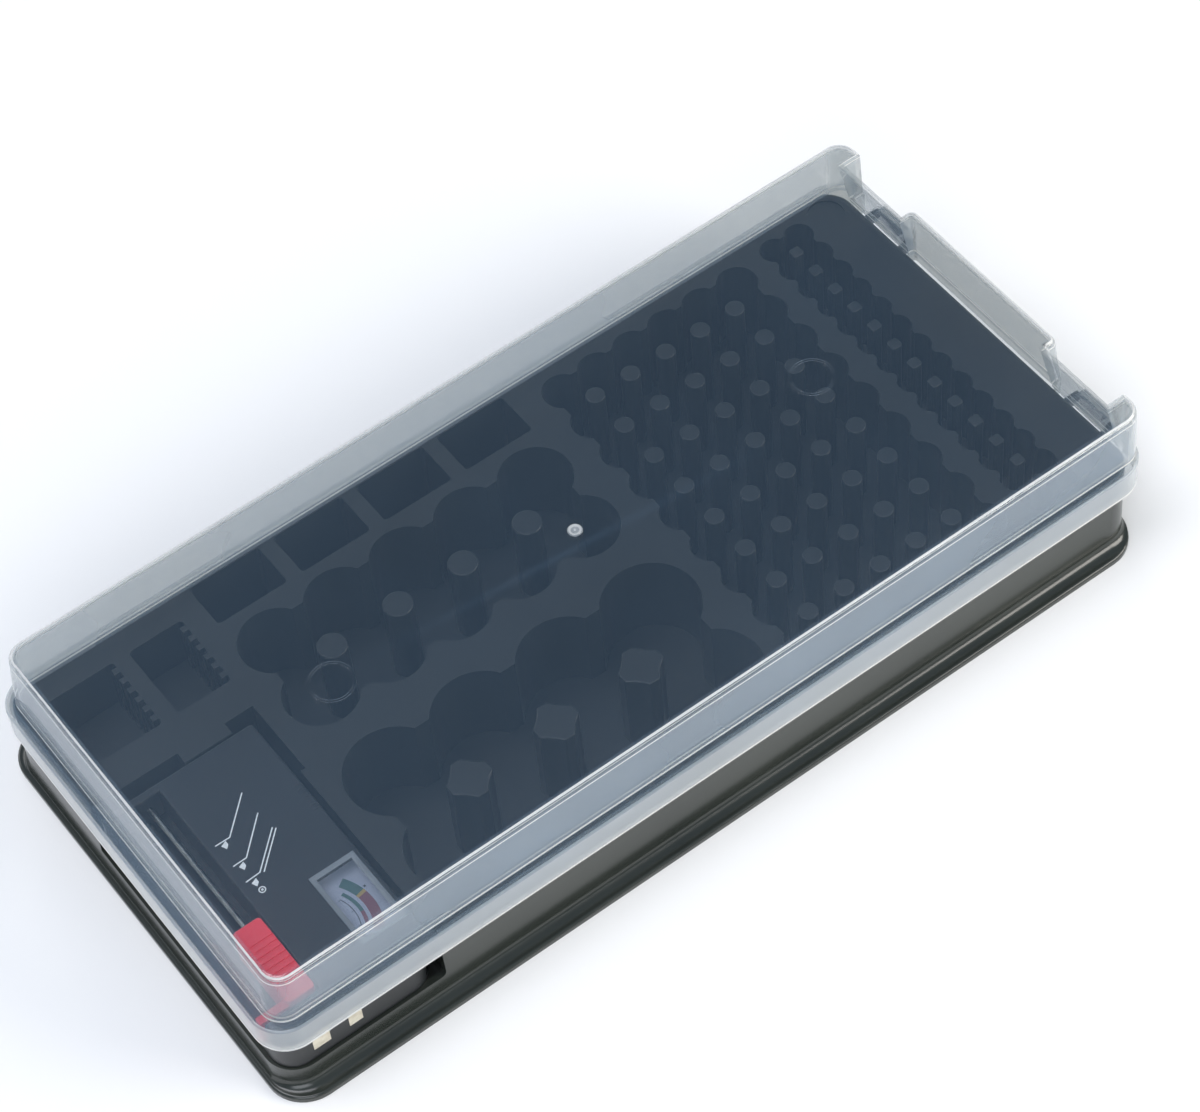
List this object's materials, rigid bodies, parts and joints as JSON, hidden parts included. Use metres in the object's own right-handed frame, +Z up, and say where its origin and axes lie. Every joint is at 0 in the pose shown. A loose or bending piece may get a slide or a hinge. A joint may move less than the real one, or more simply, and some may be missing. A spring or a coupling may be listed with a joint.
{
  "type": "battery storage case",
  "caption": "Flat moulded tray with wells for standing battery cells, a clear lid hinged on its short end, and a lift-out battery tester with a sliding contact and a needle meter.",
  "frame": {"origin": "middle of the closed case's bounding box, at the level of the surface it lies on", "axes": "+X along the case towards the lid's hinge, +Y across it away from the side where the tester's pads show, +Z up"},
  "size_m": [0.375, 0.1842, 0.0641],
  "materials": {
    "tray_plastic": "moulded, fine grained, charcoal",
    "lid_plastic": "clear moulded polypropylene, slightly hazy",
    "tester_plastic": "moulded, satin black",
    "slider_plastic": "moulded, red",
    "contact_plate": "nickel plated strip",
    "steel": "bright drawn steel",
    "magnet": "sintered",
    "coil_wire": "lacquered copper wire",
    "needle": "black paint",
    "bridge_metal": "pressed strip",
    "dial_card": "printed card",
    "window_plastic": "clear pane",
    "board": "lacquered fibre board",
    "resistor": "lacquered"
  },
  "bodies": {
    "tray": {"tray_shell": "tray_plastic", "tray_deck": "tray_plastic", "aa_tub": "tray_plastic", "aa_posts": "tray_plastic", "aaa_tub": "tray_plastic", "aaa_posts": "tray_plastic", "c_tub": "tray_plastic", "c_posts": "tray_plastic", "d_tub": "tray_plastic", "d_posts": "tray_plastic", "nine_volt_tubs": "tray_plastic", "button_tubs": "tray_plastic", "tester_bay": "tray_plastic"},
    "lid": {"lid": "lid_plastic"},
    "tester": {"tester_back": "tester_plastic", "tester_cover": "tester_plastic", "tester_screws": "steel", "slider_rail": "steel", "slider_spring": "steel", "fixed_contact": "contact_plate", "nine_volt_contacts": "contact_plate", "meter_yoke": "steel", "meter_magnet": "magnet", "meter_bridge": "bridge_metal", "meter_dial": "dial_card", "meter_window": "window_plastic", "test_board": "board", "load_resistors": "resistor"},
    "slider": {"slider": "slider_plastic", "slider_contact": "contact_plate"},
    "meter_movement": {"meter_coil": "coil_wire", "meter_pivot": "steel", "meter_needle": "needle"}
  },
  "joints": [
    {"name": "lid_hinge", "type": "hinge", "parent": "tray", "child": "lid", "pos_m": [0.1841, 0, 0.0343], "axis": [0, 1, 0], "range_deg": [0, 180]},
    {"name": "tester_lift", "type": "slide", "parent": "tray", "child": "tester", "axis": [0, 0, 1], "range_m": [0, 0.03]},
    {"name": "slider_slide", "type": "slide", "parent": "tester", "child": "slider", "axis": [0, 1, 0], "range_m": [0, 0.0617], "stiffness_N_per_m": 20, "springref_m": -0.04, "deforming": ["slider_spring"]},
    {"name": "needle_turn", "type": "hinge", "parent": "tester", "child": "meter_movement", "pos_m": [-0.1506, -0.0576, 0.0316], "axis": [0, 0, 1], "range_deg": [0, 84], "stiffness_Nm_per_rad": 0.0002}
  ],
  "couplings": [
    {"joint": "tester_lift", "follows": "lid_hinge", "m_per_rad": 0.009548}
  ]
}
